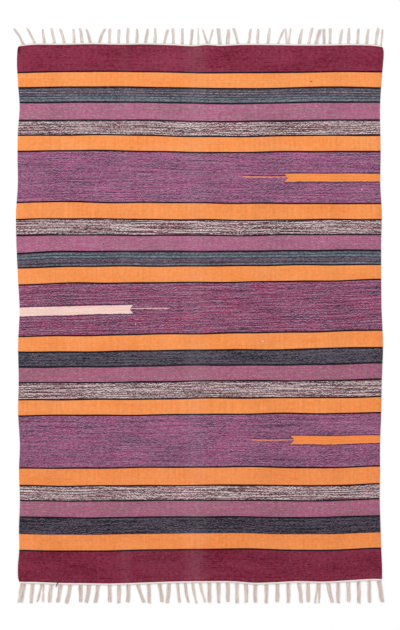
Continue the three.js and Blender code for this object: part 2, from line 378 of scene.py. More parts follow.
def makePickGroup():
    # One row of yarn: single beads where the weft passes over a warp, dashes a few beads long, a slow drift,
    # a stretch of stray fibre and a tone for the whole row. Speck and Fleck are two more tones of each bead,
    # and Height is its shape: sin(pi * share of the bead)^beadRound. All run 0 to 1.
    group, taken = newGroup("pickOfYarn", ("Across", "Row", *weave["lengths"]),
                            ("Bead", "Dash", "Drift", "Stray", "Row", "Speck", "Fleck", "Height"))
    row = taken["Row"]
    place = calc("FLOORED_MODULO", row, 2.0) * 0.5 + taken["Across"] / taken["Warp"]
    bead = newNode("TexWhiteNoise", {"Vector": vector(calc("FLOOR", place), row)}, noise_dimensions="2D")
    more = newNode("SeparateColor", {0: bead[1]})
    tone = newNode("TexWhiteNoise", {"W": row}, noise_dimensions="1D")[0]
    hump = calc("SINE", calc("FRACT", place) * math.pi)
    results = {"Bead": bead[0], "Speck": more[1], "Fleck": more[2], "Row": tone,
               "Height": hump ** weave["beadRound"]}
    for label, (start, detail) in weave["streaks"].items():
        values = {"W": tone * start + taken["Across"] / taken[label], "Scale": 1.0, "Detail": detail}
        results[label] = newNode("TexNoise", values, noise_dimensions="1D")[0]
    return closeGroup(group, results)


# The three tapestry bars: their colour, that of the needle which runs on from the tail, and the places. Tail
# is that of the tail's two points. A middle lies along, and a half is half a width along.
barPlaces = ("Tail", "Selvedge", "Notch", "Middle tail", "Middle selvedge", "Half tail", "Half selvedge",
             "Needle end", "Needle middle", "Needle half")
bars = (
    ((244, 146, 78), (243, 148, 110), (280, 600, 293, 1340.4, 1342.6, 13.1, 11.9, 143, 1343.8, 1.7)),
    ((245, 208, 199), (240, 194, 194), (-221, -600, -232, 897.4, 894.8, 14.2, 14.4, -102, 899.4, 1.5)),
    ((246, 142, 76), (243, 146, 108), (300, 600, 315, 465, 466.2, 13.6, 11.9, 172, 465.4, 1.7)),
)
tapestry = {
    "barEdge": (-2.2, 2.0),  # how far inside the rim the dark pick beside it lies, and its reach
    "needleEdge": (-2.0, 2.0),
    "needleGrowth": 0.35,  # how much wider a needle is at its end than at the notch
    "wobble": 1.2,
    "dashes": (1.2, 0.1),  # how strongly the dark picks follow the dashes, and what shows in any case
    "edgeShade": (74, 46, 72),
    "toneShare": 0.22,
    "needleShare": 0.85,
}


def makeBarGroup():
    # A tapestry bar that grows out of a selvedge: share is 0 at the two points of its tail and 1 at the
    # selvedge. It is inside where the distance from its middle line, in half widths, is under 1, and where
    # share is past notch * (1 - distance). A needle of a few picks runs on from the tail. Edge is 1 where a
    # dark pick lies beside one of the two.
    group, taken = newGroup("tapestryBar", ("Across", "Along", *barPlaces), ("Bar", "Needle", "Edge"))
    barEdge, needleEdge = (
        [length * mm for length in tapestry[label]] for label in ("barEdge", "needleEdge"))
    share, notch = (
        mapped(taken[label], taken["Tail"], taken["Selvedge"], clamp=False) for label in ("Across", "Notch"))
    middle, half = (
        (taken[part + " selvedge"] - taken[part + " tail"]) * share + taken[part + " tail"]
        for part in ("Middle", "Half"))
    inwards = half - abs(taken["Along"] - middle)
    besideBar = calc("COMPARE", inwards, *barEdge) * (share > 0.0)

    run = mapped(taken["Across"], taken["Needle end"], taken["Notch"], clamp=False)
    within = calc("COMPARE", run, 0.5, 0.5)
    growth = tapestry["needleGrowth"]
    wide = taken["Needle half"] * (run * -growth + (1 + growth))
    needleIn = wide - abs(taken["Along"] - taken["Needle middle"])
    above = within * (taken["Along"] > taken["Needle middle"])
    return closeGroup(group, {
        "Bar": (inwards > 0.0) * (share > notch * (inwards / half)),
        "Needle": within * (needleIn > 0.0),
        "Edge": calc("MAXIMUM", besideBar, above * calc("COMPARE", needleIn, *needleEdge))})


# Lint, slubs, dark spots and a painted shade at the far left corner, where it curls under: across, along,
# half width, half height and colour
spots = (
    (208.5, 788, 3.2, 2.6, (222, 212, 222)), (537, 1303, 2.6, 2.0, (226, 214, 224)),
    (-213, 849, 2.4, 2.0, (216, 200, 214)), (-319, 1117, 3.4, 2.6, (62, 40, 58)),
    (370, 1657, 3.6, 2.4, (120, 84, 52)), (-554, 756, 3.4, 1.8, (196, 108, 72)),
    # The first of these two is the painted shade of the curled far left corner
    (-598, 1766, 6, 12, (84, 22, 42)), (-449, -1, 4, 3, (92, 26, 46)),
    (10.6, 1762, 2, 10, (92, 22, 44)),
)
spotPlaces = ("X", "Y", "Width", "Height")
spotRim = {"grains": (700, 700), "ragged": 0.8, "soft": (1.15, 0.7), "share": 0.85}


def makeSpotGroup():
    # A small oval spot, 1 inside and 0 outside. It fades through the soft rim, by its reach:
    # ((x / width)^2 + (y / height)^2)^0.5 and some noise that makes the rim ragged
    group, taken = newGroup("ovalSpot", ("Across", "Along", *spotPlaces), ("Spot",))
    x = (taken["Across"] - taken["X"]) / taken["Width"]
    y = (taken["Along"] - taken["Y"]) / taken["Height"]
    reach = newNode("VectorMath", {0: vector(x, y)}, operation="LENGTH")["Value"]
    rag = noise(taken["Across"], taken["Along"], spotRim["grains"], 1.0)
    reach = reach + (rag - 0.5) * spotRim["ragged"]
    spot = mapped(reach, *spotRim["soft"], interpolation_type="SMOOTHSTEP")
    return closeGroup(group, {"Spot": spot})


pickGroup = makePickGroup()
barGroup = makeBarGroup()
spotGroup = makeSpotGroup()

# Stretches along the whole rug where it was folded, partly wear and partly painted light: across, reach,
# share and shade
# A pale fold is a painted sheen where the crease catches the light, and a dark fold is a painted shade along
# the crease.
foldWearAndPaintedLight = (
    (-15, 60, 0.026, (238, 232, 232)), (-249, 34, 0.013, (238, 232, 232)),
    (-130, 90, 0.007, (238, 232, 232)), (-484, 44, 0.04, (24, 14, 20)),
    (228, 100, 0.045, (24, 14, 20)), (456, 52, 0.045, (24, 14, 20)),
)
# A colour ramp holds at most so many stops. It is read off in 256 steps, two to a row, over the rows of its
# span, and takes strips for somewhat fewer rows.
ramps = {"stops": 32, "rows": 118, "span": 128}


def rampRuns():
    # The strips in runs, one for each ramp
    runs = [[]]
    for strip in bandStrips():
        full = len(runs[-1]) == ramps["stops"]
        if full or (runs[-1] and strip[1] + strip[2] - runs[-1][0][1] > ramps["rows"]):
            runs.append([])
        runs[-1].append(strip)
    return runs


def stripColours(row, column):
    # One colour for each strip of yarn, by constant colour ramps
    made = None
    for run in rampRuns():
        start = run[0][1]
        ramp = row.tree.nodes.new("ShaderNodeValToRGB")
        giveAll(ramp.inputs, {"Fac": row * (1 / ramps["span"]) + (0.5 - start) / ramps["span"]})
        ramp.color_ramp.interpolation = "CONSTANT"
        stops = ramp.color_ramp.elements
        stops.remove(stops[1])
        for order, (yarn, first, _) in enumerate(run):
            place = (first - start) / ramps["span"]
            stop = stops[0] if order == 0 else stops.new(place)
            stop.position = place
            stop.color = column(yarns[yarn])
        colour = Value(row.tree, ramp.outputs[0])
        made = colour if made is None else mixColour(row > start - 0.5, made, colour)
    return made


def makeWovenCotton():
    material, tree, shader = newMaterial("wovenCotton", weave["shine"])
    across, along = mapPlace(tree, "weave")
    row = calc("FLOOR", along / (pick * mm))
    lengths = {label: length * mm for label, length in weave["lengths"].items()}
    before, picks, after = (
        newNode("Group", {"Across": across, "Row": row + step, **lengths}, node_tree=pickGroup)
        for step in (-1.0, 0.0, 1.0))
    shares = weave["shares"]

    def crisp(label):
        # A tone of the pick about 0, less a share of the same tone of the picks on both sides
        beside = (before[label] + after[label]) * -weave["crispness"]
        return beside + picks[label] - (0.5 - weave["crispness"])

    def placed(group, labels, places, alongHere):
        # One bar or spot
        values = {label: place * mm for label, place in zip(labels, places)}
        return newNode("Group", {"Across": across, "Along": alongHere, **values}, node_tree=group)

    # Each yarn runs from its darkest to its lightest shade by the tone of the pick and of the patch round it
    darkest, lightest, stray = (stripColours(row, lambda yarn: dye(*yarn[shade])) for shade in range(3))
    traits = newNode("SeparateColor", {0: stripColours(row, lambda yarn: (*yarn[3:], 1.0))})
    contrast, plain, strayness = traits[0], traits[1], traits[2]
    patch = noise(across, along, weave["patch"], 2.0)
    mottle = noise(across, along, weave["mottle"], 0.0)
    # Single beads stand out most in the yarns between streaked and plain
    off = plain * 2.0 - 1.0
    beads = off * off * -weave["beadLoss"] + 1.0
    swing = crisp("Bead") * (beads * shares["Bead"]) + crisp("Dash") * shares["Dash"] + crisp("Row")
    drift = crisp("Drift") * shares["Drift"]
    patchSwing = (patch - 0.5) * shares["Patch"] + (mottle - 0.5) * shares["Mottle"]
    slow = (patchSwing - drift) * plain + drift
    tone = calc("MULTIPLY_ADD", swing + slow, contrast, 0.5, clamp=True)
    # A streaked yarn is dark for the most part, with brighter picks standing out
    curve = plain * (1 - weave["streakCurve"]) + weave["streakCurve"]
    colour = mixColour(tone ** curve, darkest, lightest)
    strayTone = crisp("Speck") * shares["Speck"] + crisp("Stray")
    strayShare = mapped(strayTone, *weave["strayTone"]) * strayness * mapped(patch, *weave["strayPatch"])
    colour = mixColour(strayShare, colour, stray)
    fleck = weave["fleck"]
    colour = dyed(colour, (picks["Fleck"] > fleck["tone"]) * fleck["share"], fleck["shade"])

    # The warps show as faint lines, a little lighter or darker, for a stretch along the rug, and the weft
    # beside each dark pick takes a painted shade where it dips towards it
    lines = noise(across, along, weave["warpGrains"], 2.0)
    paintedDipShade = newNode("Attribute", {}, tree, attribute_name="paintedDipShade")["Fac"]
    colour = shaded(colour, ((lines - 0.5) * weave["warpLines"] + 1.0) * paintedDipShade)

    # Bars, with dark picks beside their edges
    wobble = (picks["Bead"] - 0.5) * (tapestry["wobble"] * mm) + along
    dashed = calc("MULTIPLY_ADD", picks["Dash"], *tapestry["dashes"], clamp=True)
    barTone = (tone - 0.5) * tapestry["toneShare"] + 1.0
    for shade, needleShade, places in bars:
        made = placed(barGroup, barPlaces, places, wobble)
        colour = dyed(colour, made["Edge"] * dashed, tapestry["edgeShade"])
        barColour = shaded(mixColour(made["Bar"], dye(*needleShade), dye(*shade)), barTone)
        colour = mixColour(made["Needle"] * tapestry["needleShare"], colour, barColour)
        colour = mixColour(made["Bar"], colour, barColour)

    # The undyed warps glint through the third row from each end
    glint = weave["glint"]
    fromEnd = abs(row + 0.5 - rug["rows"] / 2) * -1.0 + rug["rows"] / 2
    glints = calc("COMPARE", fromEnd, glint["row"], glint["reach"]) * (picks["Bead"] > glint["tone"])
    colour = dyed(colour, glints * glint["share"], glint["shade"])

    # Lint, slubs and dark spots, and the painted shade at the far left corner
    for *places, shade in spots:
        spot = placed(spotGroup, spotPlaces, places, along)["Spot"]
        colour = dyed(colour, spot * spotRim["share"], shade)
    # Each fold: partly wear, with a painted sheen on the pale folds and a painted shade on the dark ones
    for x, reach, share, shade in foldWearAndPaintedLight:
        away = abs(across - x * mm)
        wearAndPaintedLight = mapped(away, 0.0, reach * mm, share, 0.0, interpolation_type="SMOOTHSTEP")
        colour = dyed(colour, wearAndPaintedLight, shade)

    fuzz = noise(across, along, weave["fuzz"], 2.0)
    smoothest, added = weave["roughness"]
    giveAll(shader.inputs, {
        "Base Color": colour, "Roughness": fuzz * added + smoothest,
        "Normal": bumped(weave, fuzz * weave["fuzzHeight"] + picks["Height"])})
    return material


cotton = {
    "shine": {"Roughness": 0.9, "Specular IOR Level": 0.12, "Sheen Weight": 0.08, "Sheen Roughness": 0.6},
    "fibres": (120, 9),  # how many to a metre of yarn and to a turn round it
    "drifts": (45, 3.7),  # how many grains to a metre, and how far apart two yarns lie in the noise
    "shares": {"Fibre": 0.7, "Drift": 0.8, "Yarn": 0.6},
    "darken": -0.55,
    "rowEdge": (0.46, 0.54),  # between the inner and the outer row of a strip
    # the painted shade at a tassel's root, where it comes out from under the strip, fades out between these
    # lengths
    "rootShadeLength": (2, 9),  # between these lengths the root's shade ends
    "bump": {"Strength": 0.6, "Distance": 0.25 * mm},
    "roughness": (0.82, 0.15),
}


def makeFibreGroup():
    # Spun cotton along a yarn: fibres slant round it, its tone drifts along it and each yarn has a tone of
    # its own. Length is in metres and Turn in turns, where each yarn starts at a whole number.
    group, taken = newGroup("spunFibres", ("Length", "Turn", "Slant"), ("Fibre", "Drift", "Yarn"))
    length, yarn = taken["Length"], calc("FLOOR", taken["Turn"])
    return closeGroup(group, {
        "Fibre": noise(length, length * taken["Slant"] + taken["Turn"], cotton["fibres"], 2.0),
        "Drift": noise(length, yarn, cotton["drifts"], 1.0),
        "Yarn": newNode("TexWhiteNoise", {"W": yarn}, noise_dimensions="1D")[0]})


fibreGroup = makeFibreGroup()


def makeYarnCotton(name, darkest, lightest, slant=300.0, outerRow=1.0, root=1.0):
    # Spun yarn on the "yarn" map, whose first number is the length along it and whose second counts turns.
    # outerRow is the shade of the outer row of a strip, and root is a painted shade on the first millimetres
    # of a tassel, where it comes out from under the strip.
    material, tree, shader = newMaterial(name, cotton["shine"])
    length, turn = mapPlace(tree, "yarn")
    spun = newNode("Group", {"Length": length, "Turn": turn, "Slant": slant}, node_tree=fibreGroup)
    shares = cotton["shares"]
    drifted = spun["Drift"] * shares["Drift"] + (spun["Yarn"] * shares["Yarn"] + cotton["darken"])
    share = calc("MULTIPLY_ADD", spun["Fibre"], shares["Fibre"], drifted, clamp=True)
    if outerRow < 1:
        shade = mapped(turn, *cotton["rowEdge"], 1.0, outerRow)
    else:
        # A painted shade on the root, where the yarn comes out from under the strip
        shade = mapped(length, *(place * mm for place in cotton["rootShadeLength"]), root, 1.0)
    smoothest, added = cotton["roughness"]
    giveAll(shader.inputs, {
        "Base Color": shaded(mixColour(share, dye(*darkest), dye(*lightest)), shade),
        "Roughness": spun["Fibre"] * added + smoothest,
        "Normal": bumped(cotton, spun["Fibre"])})
    return material


# Cloth

cloth = {
    "ribHeight": 0.45,  # of each row of weft above the groove beside it
    "lineSink": 0.45,  # how much lower a dark pick lies
    "crown": 0.35,  # how much a band rises away from its dark picks
    "crownRows": 3.0,
    "heavier": 0.27,  # how much of the row on each side a dark pick takes
    # how deep and how far the painted shade reaches beside each dark pick, where the weft dips towards it
    "dipShadeDepth": 0.2,
    "dipShadeReach": 0.8,
    "topColumns": 56, "underColumns": 14, "roundSteps": 4,
    "bulge": (0.85, 0.3),  # the selvedge's round in a groove, in radiuses, and how much a crest adds
    "wobble": 0.5,
    "wobbleWaves": ((31, 47, 0), (53, -23, 2)),  # length across and along, and where the wave starts
    "ripple": 0.5,
    "rippleWaves": {"across": 96, "bend": (1.3, 260), "along": (143, 0.8), "slanting": (61, 210)},
    "thinCorner": 1.2,  # how much lower the far left corner lies
    "cornerReach": (16, 20),
}


def darkPickRows():
    return np.array([first for yarn, first, _ in bandStrips() if yarn == "line"])


def darkPickDistance(halfRows):
    # How many rows each groove and crest lies from the middle of the nearest dark pick
    return np.abs(halfRows[:, None] / 2 - (darkPickRows() + 0.5)).min(1)


def darkPickPush(halfRows):
    # How far, in rows, the two grooves beside each dark pick are pushed apart
    push = np.zeros(len(halfRows))
    push[2 * darkPickRows()] = -cloth["heavier"]
    push[2 * darkPickRows() + 2] = cloth["heavier"]
    return push


def rowRelief(halfRows):
    # Height of the weave at each groove (even) and crest (odd): a rib on each row, lower on a dark pick, and
    # a crown of 1 - exp(-distance / rows) over each band
    distance = darkPickDistance(halfRows)
    crown = cloth["crown"] * (1 - np.exp(-distance / cloth["crownRows"]))
    return crown + cloth["ribHeight"] * (halfRows % 2) - cloth["lineSink"] * (distance < 0.25)


def rowDipShade(halfRows):
    # A painted shade on the weft where it dips beside a dark pick, as the share of light left: 1 - depth *
    # exp(-(distance / reach)^2)
    return 1 - cloth["dipShadeDepth"] * np.exp(-((darkPickDistance(halfRows) / cloth["dipShadeReach"]) ** 2))


def clothSection():
    # One closed loop: the share of the half width, the reach past it, and the height from 0 under to 1 on
    # top. It runs left to right on top, round the selvedge, back underneath and round the other selvedge.
    turn = np.linspace(0, np.pi, cloth["roundSteps"] + 2)[1:-1]
    top = np.linspace(-1, 1, cloth["topColumns"] + 1)
    under = np.linspace(1, -1, cloth["underColumns"] + 1)
    share = np.concatenate([top, np.ones(len(turn)), under, -np.ones(len(turn))])
    reach = np.concatenate([0 * top, np.sin(turn), 0 * under, -np.sin(turn)])
    level = np.concatenate([0 * top + 1, (1 + np.cos(turn)) / 2, 0 * under, (1 - np.cos(turn)) / 2])
    return share, reach, level


def rippleHeight(x, y):
    # How far the cloth lies off the floor: ripple times this, where it is over 0, with each wave's length:
    # sin(x / across + bend * sin(y / length)) * sin(y / along + start) + sin(x / slanting - y / slanting)
    waves = cloth["rippleWaves"]
    bend, bendLength = waves["bend"]
    length, start = waves["along"]
    bent = np.sin(x / waves["across"] + bend * np.sin(y / bendLength)) * np.sin(y / length + start)
    slanting = np.sin(x / waves["slanting"][0] - y / waves["slanting"][1])
    return cloth["ripple"] * np.clip(bent + slanting, 0, None)


# The corners of a face in their order: whether each is at its far end, and whether at its right
faceCorners = ((0, 0), (0, 1), (1, 1), (1, 0))


def loopFaces(stations, loop):
    # A loop carried along: the station and the place in the loop of each face, and its corners' numbers
    j, i = np.meshgrid(np.arange(stations), np.arange(loop), indexing="ij")
    return j, i, np.stack([(j + far) * loop + (i + right) % loop for far, right in faceCorners], -1)


def makeCloth(material):
    # The loop is carried along the rug, a station at each groove and crest of the weft:
    # x = middle + share * (half width - radius) + reach * radius * bulge, y = along + rise + wobble,
    # z = ripple + level * (thickness + relief - what the far left corner lies lower)
    share, reach, level = clothSection()
    halfRows = np.arange(2 * rug["rows"] + 1)
    straight = halfRows * pick / 2
    along = straight + darkPickPush(halfRows) * pick
    middle, half = middleAndHalf(along)
    across = middle[:, None] + share * half[:, None]
    ends = np.sin(np.pi * along / rug["length"])[:, None] ** 0.5
    wobble = sum(np.sin(across / wide + along[:, None] / long + start)
                 for wide, long, start in cloth["wobbleWaves"])
    y = along[:, None] + weftRise(share * rug["half"], along) + cloth["wobble"] * ends * wobble
    middle, half = middleAndHalf(y)
    radius = rug["thick"] / 2
    inGroove, more = cloth["bulge"]
    bulge = inGroove + more * (halfRows % 2)[:, None]
    x = middle + share * (half - radius) + reach * radius * bulge
    wide, long = cloth["cornerReach"]
    corner = np.exp(-((x + rug["half"]) / wide) ** 2 - ((y - rug["length"]) / long) ** 2)
    relief = rowRelief(halfRows)[:, None] * (reach < 0.5)
    z = rippleHeight(x, y) + level * (rug["thick"] + relief - cloth["thinCorner"] * corner)

    loop = len(share)
    j, i, quads = loopFaces(len(along) - 1, loop)
    caps = capFaces(loop, (len(along) - 1) * loop)
    placed = np.stack([x, y, z], -1).reshape(-1, 3)
    shift = np.sum(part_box("cloth"), 0) / mm - (placed.min(0) + placed.max(0))
    shift *= (0.5, 0.5, 0)
    piece = meshObject("wovenCloth", (placed + shift) * mm, quads.reshape(-1, 4).tolist() + caps, material)

    # The weave map holds the place across and the straight place along, so a band is straight on it
    woven = np.stack([x, np.broadcast_to(straight[:, None], x.shape)], -1).reshape(-1, 2) * mm
    addMap(piece, "weave", woven[np.concatenate([quads.reshape(-1), np.concatenate(caps)])])
    addMap(piece, "OFBake", bakePlaces(share, along, caps, i, j))
    # The painted shade beside each dark pick, on every point of its row, for the material to read
    paintedDipShade = piece.data.attributes.new("paintedDipShade", "FLOAT", "POINT")
    paintedDipShade.data.foreach_set("value", np.repeat(rowDipShade(halfRows), loop).astype(np.float32))
    return piece, shift


def capFaces(loop, last):
    # A ladder of faces between the top and the underside at each end, and one at each rounded selvedge
    top, under, turns = cloth["topColumns"], cloth["underColumns"], cloth["roundSteps"]
    step = top // under
    firstUnder = top + turns + 1
    far = [list(range(top, firstUnder + 1)), [*range(firstUnder + under, loop), 0]]
    for k in range(under):
        far.append([*range(top - step * (k + 1), top - step * k + 1), firstUnder + k, firstUnder + k + 1])
    near = [face[::-1] for face in far]
    return near + [[last + point for point in face] for face in far]


bakeSheet = {
    "margin": (0.005, 0.006),  # left, and at the near end
    "top": 0.742,  # shares of the width
    "under": 0.232,
    "turn": 0.008,
    "length": 0.988,
    "capEdges": (0.0045, 0.001),  # how far from the sheet's edge a cap's top and its underside lie
}


def bakePlaces(share, along, caps, i, j):
    # The loop unrolled flat on the OFBake map: three quarters of the width go to the top, and the caps to the
    # margins
    top, under, turns = cloth["topColumns"], cloth["underColumns"], cloth["roundSteps"] + 1
    turn = bakeSheet["turn"] / turns
    widths = [bakeSheet["top"] / top, turn, bakeSheet["under"] / under, turn]
    widths = np.repeat(widths, [top, turns, under, turns])
    left, near = bakeSheet["margin"]
    u = left + np.concatenate([[0], np.cumsum(widths)])
    v = near + bakeSheet["length"] * along / rug["length"]
    corners = [np.stack([u[i + right], v[j + far]], -1) for far, right in faceCorners]
    loop = len(share)
    capU = left + bakeSheet["top"] * (share + 1) / 2
    edge = np.where(np.arange(loop) <= top, *bakeSheet["capEdges"])
    out = [np.stack(corners, -2).reshape(-1, 2)]
    for face in caps:
        number = np.array(face) % loop
        far = face[0] >= loop
        out.append(np.stack([capU[number], 1 - edge[number] if far else edge[number]], -1))
    return np.concatenate(out)


# Fringe

# Runs of tassels: from and to across, how many, how far the first and the last lean, the yarns in each, and,
# where one is split in two, how far apart its halves end
farTassels = (
    (-583, -546, 2, -32, -26, 3), (-516, -449, 3, -5, -13, 3), (-417, -362, 3, -2, -14, 3),
    (-335, -335, 1, 19, 19, 3), (-300, -209, 4, 2, 0, 3), (-180, -149, 2, 7, 1, 3),
    (-119, -119, 1, 12, 12, 3), (-88, -30, 3, -1, 4, 3),
    (-5, -5, 1, -1, -1, 2), (27, 27, 1, -1, -1, 4, 34), (67, 92, 2, -7, 3, 4),
    (127, 127, 1, -15, -15, 3), (160, 191, 2, 9, 1, 3), (225, 225, 1, 7, 7, 3),
    (258, 258, 1, 21, 21, 2), (291, 291, 1, 1, 1, 4, 17), (329, 360, 2, 10, 12, 3),
    (384, 384, 1, 14, 14, 4), (411, 431, 2, 1, 1, 3), (463, 492, 2, 8, 2, 3),
    (522, 582, 3, 4, 9, 3), (600, 600, 1, 6, 6, 2),
)
nearTassels = (
    (-586, -586, 1, -10, -10, 6), (-555, -555, 1, -5, -5, 4), (-522, -522, 1, -7, -7, 4, 19),
    (-493, -429, 3, -6, -13, 4), (-395, -395, 1, 0, 0, 4), (-367, -337, 2, -9, -9, 4),
    (-299, -236, 3, 1, -3, 4), (-206, -206, 1, 20, 20, 4), (-170, -134, 2, 3, 9, 4),
    (-102, -102, 1, -6, -6, 4), (-75, 0, 4, 8, 17, 3), (31, 153, 5, 1, 1, 4),
    (183, 294, 4, 1, -1, 4), (329, 358, 2, 8, 1, 4), (394, 394, 1, -6, -6, 4, 13),
    (424, 424, 1, 15, 15, 4), (458, 560, 4, 1, 2, 4), (594, 594, 1, 11, 11, 5),
)
tassel = {
    "yarnWidth": 3.3, "plyRadius": 0.95,
    "lay": 8.5,  # length of one turn of the two plies
    "step": 1.55, "ringSides": 6,
    "rootOnStrip": 0.55,  # how far out on the strip a yarn starts, as a share of its width
    "trimUneven": 2.2, "trimRhythm": 2.4, "trimChance": 0.7,
    "straightLean": 0.75,
    "rootGather": 0.14,  # how much closer its yarns lie where a tassel starts
    "gatherLength": 10, "tipTaper": 0.85,
    "wander": 0.7, "wanderLength": (7, 12),
    "hop": 0.35, "hopLength": 5,
    "calmLength": 9,  # the length over which wander and hop grow
    "rootHeight": 2.6,
    "rootDrop": 7,  # the length over which a yarn comes down to the floor
    "tipThin": (0.25, 8),  # how much thinner a ply is at its tip, and the power by which it thins
    "frays": 5, "frayLength": 3.2, "frayShares": (0.4, 1), "fraySpread": (0.35, 0.2, 0.12),
    "frayStart": (0.3, 0, 0.18), "frayInside": 0.8,
    "frayRadius": 0.28, "frayThin": 0.25, "fraySteps": 4, "fraySides": 3,
}


def strandTable(table):
    # Every strand as root, lean, yarns and trim, in the order of the runs
    strands = []
    for first, last, count, leanFirst, leanLast, yarnCount, *apart in table:
        for share in (np.linspace(0, 1, count) if count > 1 else (0.0,)):
            root = first + (last - first) * share
            lean = leanFirst + (leanLast - leanFirst) * share
            trim = tassel["trimUneven"] * math.sin(len(strands) * tassel["trimRhythm"])
            if not apart:
                strands.append((root, lean, yarnCount, trim))
                continue
            for side in (-1, 1):
                shift = side * tassel["yarnWidth"] * yarnCount / 4
                strands.append((root + shift, lean + side * apart[0] / 2 - shift, yarnCount / 2, trim))
    return strands


def yarnLines(table, ends, endAlong, trimAlong, side):
    # Centre line of every yarn, yarns x steps x 3, with s from 0 at the root to 1 at the tip. The middle line
    # of a strand is across = root + lean * s * (straight + (1 - straight) * s). Its yarns lie side by side.
    rows = []
    for root, lean, count, trim in strandTable(table):
        for order in range(int(count)):
            rows.append((root, lean, order - (count - 1) / 2, trim))
    root, lean, order, trim = np.array(rows).T[:, :, None]
    steps = round(abs(trimAlong - endAlong) / tassel["step"])
    s = np.linspace(0, 1, steps + 1)[None, :]
    onStrip = rug["stripWidth"] * tassel["rootOnStrip"]
    start = endAlong + side * (smoothLine(ends, root[:, 0])[:, :1] + rug["seam"] + onStrip)
    stop = trimAlong + side * (trim + chance.normal(0, tassel["trimChance"], root.shape))
    y = start + (stop - start) * s
    length = np.abs(stop - start) * s
    grown = np.clip(length / tassel["gatherLength"], 0, 1)
    gather = 1 - tassel["rootGather"] + tassel["rootGather"] * grown - (1 - tassel["tipTaper"]) * s**2
    calm = np.clip(length / tassel["calmLength"], 0, 1)
    phase = chance.uniform(0, 2 * np.pi, root.shape)
    wave = length / chance.uniform(*tassel["wanderLength"], root.shape)
    sway = tassel["wander"] * np.sin(wave + phase) * calm
    x = root + lean * s * (tassel["straightLean"] + (1 - tassel["straightLean"]) * s)
    x = x + order * tassel["yarnWidth"] * gather + sway
    radius = 2 * tassel["plyRadius"]
    hop = tassel["hop"] * (1 + np.sin(length / tassel["hopLength"] + phase * 2)) * calm
    z = radius + hop + (tassel["rootHeight"] - radius) * np.exp(-((length / tassel["rootDrop"]) ** 2))
    return np.stack(np.broadcast_arrays(x, y, z), -1), length


def sideways(lines):
    # Two directions at right angles to each line all along it: across, which is level, and up
    ahead = np.gradient(lines, axis=1)
    ahead /= np.linalg.norm(ahead, axis=-1, keepdims=True)
    across = np.cross(ahead, [0, 0, 1.0])
    across /= np.linalg.norm(across, axis=-1, keepdims=True)
    return across, np.cross(across, ahead)


def lengthAlong(lines):
    stretch = np.linalg.norm(np.diff(lines, axis=1), axis=-1)
    return np.concatenate([np.zeros((len(lines), 1)), np.cumsum(stretch, 1)], 1)


def tubes(lines, radii, sides, lengths):
    # Round tubes along many lines at once: centre + radius * (cos a * across + sin a * up), closed at both
    # ends. Returns the points, the faces and, for each face corner, its length along the yarn and its turn.
    count, steps = lines.shape[:2]
    across, up = sideways(lines)
    angle = np.arange(sides) * 2 * np.pi / sides
    spread = np.cos(angle)[:, None] * across[:, :, None, :] + np.sin(angle)[:, None] * up[:, :, None, :]
    points = lines[:, :, None, :] + radii[..., None, None] * spread

    j, i, corners = loopFaces(steps - 1, sides)
    number = np.arange(count)[:, None]
    ring = np.arange(sides)
    quads = number[..., None, None] * steps * sides + corners
    near = number * steps * sides + ring[::-1]
    far = (number * steps + steps - 1) * sides + ring
    faces = quads.reshape(-1, 4).tolist() + near.tolist() + far.tolist()
    pairs = [(lengths[:, j + far], number[..., None] + (i + right) / sides) for far, right in faceCorners]
    onSides = np.stack([np.stack(pair, -1) for pair in pairs], -2)
    onCaps = [np.stack(np.broadcast_arrays(end, number + ring / sides), -1)
              for end in (lengths[:, :1], lengths[:, -1:])]
    places = np.concatenate([made.reshape(-1, 2) for made in (onSides, *onCaps)])
    return points.reshape(-1, 3), faces, places


def plyTubes(lines, length, phase, radii, sides):
    # The two plies of each yarn, twisted round its centre line:
    # centre + plyRadius * (cos a * across + sin a * up), with a = 2 pi length / lay. Returns their centre
    # lines and their tubes.
    across, up = sideways(lines)
    plies = []
    for half in (0, np.pi):
        angle = (2 * np.pi * length / tassel["lay"] + phase + half)[..., None]
        plies.append(lines + tassel["plyRadius"] * (np.cos(angle) * across + np.sin(angle) * up))
    plies = np.concatenate(plies)
    radii = np.broadcast_to(radii, plies.shape[:2])
    return plies, tubes(plies, radii, sides, np.concatenate([length, length]))


def yarnObject(name, points, faces, places, shift, material):
    # A piece of yarn, whose places hold the length along it and its turn
    piece = meshObject(name, (points + shift) * mm, faces, material)
    addMap(piece, "yarn", places * (mm, 1))
    return piece


def makeTassels(name, table, ends, endAlong, trimAlong, side, shift, material):
    lines, length = yarnLines(table, ends, endAlong, trimAlong, side)
    phase = chance.uniform(0, 2 * np.pi, (len(lines), 1))
    thin, power = tassel["tipThin"]
    radii = tassel["plyRadius"] * (1 - thin * np.linspace(0, 1, lines.shape[1]) ** power)
    plies, (points, faces, places) = plyTubes(lines, length, phase, radii, tassel["ringSides"])
    frayPoints, frayFaces, frayPlaces = makeFrays(plies)
    faces += [[len(points) + point for point in face] for face in frayFaces]
    points, places = np.concatenate([points, frayPoints]), np.concatenate([places, frayPlaces])
    return yarnObject(name, points, faces, places, shift, material)


